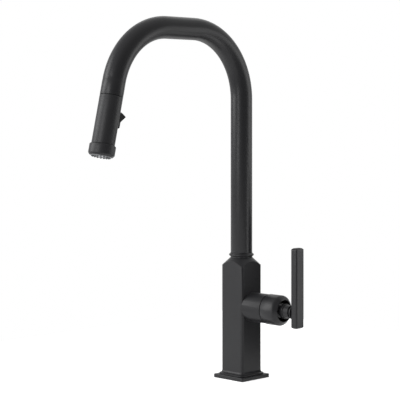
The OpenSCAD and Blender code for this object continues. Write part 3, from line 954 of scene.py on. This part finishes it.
# ---------------------------------------------------------------- studio
@dataclass(frozen=True)
class Lamp:
    """A rectangular softbox that faces the faucet.

    Args:
        name: The lamp's name.
        at: Its place.
        size: Its width and height.
        watts: Its power.
        aim: The point that it faces, near the faucet's middle.
    """

    name: str
    at: tuple[float, float, float]
    size: tuple[float, float]
    watts: float
    aim: tuple[float, float, float] = (0, -0.08, 0.22)

    def place(self) -> None:
        """Adds the lamp to the scene, hidden from the camera."""
        data = bpy.data.lights.new(self.name, "AREA")
        data.shape = "RECTANGLE"
        data.size, data.size_y = self.size
        data.energy = self.watts
        obj = new_object(self.name, data)
        obj.location = self.at
        obj.visible_camera = False
        ahead = Vector(self.aim) - Vector(self.at)
        obj.rotation_euler = ahead.to_track_quat("-Z", "Y").to_euler()


@dataclass(frozen=True)
class Falloff:
    """How the room's light falls towards one side.

    Args:
        side: Direction of the least light.
        start: Cosine of the angle from that direction where the light starts to fall.
        stop: Cosine of the angle where it is least.
        most: The light before it falls.
        least: The light at its least.
    """

    side: tuple[float, float, float]
    start: float
    stop: float
    most: float
    least: float

    def backdrop(
        self, tree: bpy.types.NodeTree, heading: bpy.types.NodeSocket
    ) -> bpy.types.NodeSocket:
        """Adds a white background whose strength follows the falloff.

        Args:
            tree: The world's node tree.
            heading: The direction that is looked in.

        Returns:
            The socket that carries the background.
        """
        towards = add_node(
            tree,
            "ShaderNodeVectorMath",
            {"operation": "DOT_PRODUCT", "1": self.side},
            {"0": heading},
        )
        strength = add_node(
            tree,
            "ShaderNodeMapRange",
            {
                "From Min": self.start,
                "From Max": self.stop,
                "To Min": self.most,
                "To Max": self.least,
            },
            {"Value": towards.outputs["Value"]},
        )
        light = {"Strength": strength.outputs["Result"]}
        return add_node(tree, "ShaderNodeBackground", {"Color": WHITE}, light).outputs[0]


@dataclass
class Studio:
    """Camera, soft lights, pale floor and white background.

    Args:
        camera_at: Place of the camera.
        heading_deg: The level camera's turn from +Y.
        sensor: Width of the sensor in millimetres.
        lens: Focal length in millimetres.
        shift_y: Vertical shift of the lens.
        lamps: The softboxes, in the order that they are placed.
        mirrored: The room's light as glossy surfaces show it, with a dim side.
        plain: The room's light on everything else.
        floor_half: Half the side of the square floor.
        floor_z: Height of the floor, just under the base plate.
        card_at: Place of the black card.
        card_along: Level direction along the card.
        card_corners: Each corner's distance along the card and its height from card_at.
    """

    camera_at: tuple[float, float, float] = (1.26099, -1.33820, 0.3492)
    heading_deg: float = 45
    sensor: float = 36.0
    lens: float = 125.586
    shift_y: float = -0.2205
    lamps: tuple[Lamp, ...] = (
        Lamp("softbox_left", (-1.3, -1.5, 0.9), (1.2, 1.6), 25.5),
        Lamp("softbox_front", (0.15, -1.5, 0.45), (0.6, 1.2), 8.5),
        Lamp("softbox_right", (0.34, 0.36, 0.36), (0.3, 0.35), 0.6),
        Lamp("strip_right", (0.24, 0.11, 0.15), (0.07, 0.2), 0.105),
        Lamp("softbox_back", (-0.9, 1.0, 1.4), (1.2, 0.8), 1.4),
        Lamp("softbox_top", (0.1, -0.1, 2.2), (1.6, 1.6), 0.5),
    )
    mirrored: Falloff = Falloff((0.97, -0.24, 0.0), start=0.35, stop=0.95, most=0.8, least=0.34)
    plain: Falloff = Falloff((0.92, 0.39, 0.0), start=-0.3, stop=0.7, most=0.72, least=0.19)
    floor_half: float = 0.45
    floor_z: float = -0.4 * MM
    card_at: tuple[float, float, float] = (0.12, 0.12, 0.083)
    card_along: tuple[float, float, float] = (0.707, -0.707, 0)
    card_corners: tuple[tuple[float, float], ...] = (
        (-0.13, -0.078), (0.04, -0.078), (0.04, 0.094), (-0.13, 0.094),
    )

    def camera(self) -> None:
        """Places a level camera that looks at the column's corner."""
        data = bpy.data.cameras.new("camera")
        data.sensor_width = self.sensor
        data.lens = self.lens
        data.shift_y = self.shift_y
        obj = new_object("camera", data)
        obj.location = self.camera_at
        obj.rotation_euler = (math.radians(90), 0, math.radians(self.heading_deg))
        bpy.context.scene.camera = obj

    def world(self) -> None:
        """Adds a room that is plain white to the eye and dims to one side as a light."""
        world = bpy.data.worlds.new("surroundings")
        bpy.context.scene.world = world
        world.use_nodes = True
        tree = world.node_tree
        tree.nodes.clear()
        path = add_node(tree, "ShaderNodeLightPath").outputs
        heading = add_node(tree, "ShaderNodeTexCoord").outputs["Generated"]
        plain = self.plain.backdrop(tree, heading)
        mirrored = self.mirrored.backdrop(tree, heading)
        white = add_node(tree, "ShaderNodeBackground", {"Color": WHITE, "Strength": 1.0})
        seen = add_node(
            tree,
            "ShaderNodeMath",
            {"operation": "MAXIMUM"},
            {"0": path["Is Camera Ray"], "1": path["Is Transmission Ray"]},
        )
        lit = add_node(
            tree,
            "ShaderNodeMixShader",
            None,
            {"0": path["Is Glossy Ray"], "1": plain, "2": mirrored},
        )
        mixed = add_node(
            tree,
            "ShaderNodeMixShader",
            None,
            {"0": seen.outputs[0], "1": lit.outputs[0], "2": white.outputs[0]},
        )
        add_node(tree, "ShaderNodeOutputWorld", None, {"Surface": mixed.outputs[0]})

    def floor(self) -> None:
        """Lays a pale floor that keeps a soft shadow."""
        bm = bmesh.new()
        bmesh.ops.create_grid(bm, x_segments=8, y_segments=8, size=self.floor_half)
        floor = new_piece("floor", bm, WHITE_PAPER)
        floor.location = (0, 0, self.floor_z)

    def flag(self) -> None:
        """Stands a black card at the right, which keeps the room's light off the column's side."""
        bm = bmesh.new()
        middle, along, up = Vector(self.card_at), Vector(self.card_along), Vector((0, 0, 1))
        bm.faces.new([bm.verts.new(middle + along * u + up * v) for u, v in self.card_corners])
        card = new_piece("flag", bm, BLACK_FELT)
        card.visible_camera = False

    def build(self) -> None:
        """Builds the camera, the lamps and the surroundings."""
        self.camera()
        for lamp in self.lamps:
            lamp.place()
        self.world()
        self.floor()
        self.flag()
        bpy.context.scene.view_settings.view_transform = "Standard"
        LOG.info("built the studio")


# ---------------------------------------------------------------- the faucet
ASSEMBLIES = [
    Column(
        "column",
        {
            "base_plate": POWDER_COAT,
            "column": POWDER_COAT,
            "bonnet": POWDER_COAT,
            "spout_screw": BLACK_OXIDE,
            "cartridge": ACETAL,
            "cartridge_nut": BLACK_OXIDE,
        },
    ),
    DeckMounting(
        "deck mounting",
        {
            "deck_gasket": SEAL_RUBBER,
            "shank": BRASS,
            "rubber_washer": SEAL_RUBBER,
            "steel_washer": STEEL,
            "mounting_nut": BRASS,
            "jack_screws": STEEL,
        },
    ),
    Lever(
        "lever",
        {
            "temp_rotor": BLACK_ACETAL,
            "tilt_pin": STEEL,
            "stem": BRASS,
            "lever_hub": POWDER_COAT,
            "lever_bar": POWDER_COAT,
            "lever_screw": BLACK_OXIDE,
        },
        edge_mm=0.4,
    ),
    Spout(
        "spout",
        {
            "spigot": BRASS,
            "spigot_rings": SEAL_RUBBER,
            "glide_washer": BLACK_ACETAL,
            "bead_ring": POWDER_COAT,
            "spout_tube": TUBE_COAT,
            "dock_guide": CORE_ABS,
            "dock_magnet": NICKEL,
        },
        edge_mm=0.15,
    ),
    Wand(
        "wand",
        {
            "hose_ferrule": STEEL,
            "hose_nipple": BRASS,
            "hose_nut": BRASS,
            "wand_core": CORE_ABS,
            "dock_ring": STEEL,
            "wand_shell": WAND_ABS,
            "diverter": ACETAL,
            "rocker_pin": STEEL,
            "rocker": BUTTON_RUBBER,
            "nose_ring": WAND_ABS,
            "spray_face": FACE_ABS,
            "nozzle_mat": NOZZLE_SILICONE,
            "aerator": FACE_ABS,
        },
        edge_mm=0.2,
    ),
]


def main() -> None:
    """Builds the studio and every sub-assembly."""
    logging.basicConfig(level=logging.INFO, format="%(message)s")
    Studio().build()
    for assembly in ASSEMBLIES:
        assembly.build()
        LOG.info("built the %s", assembly.title)


if __name__ == "__main__":
    main()
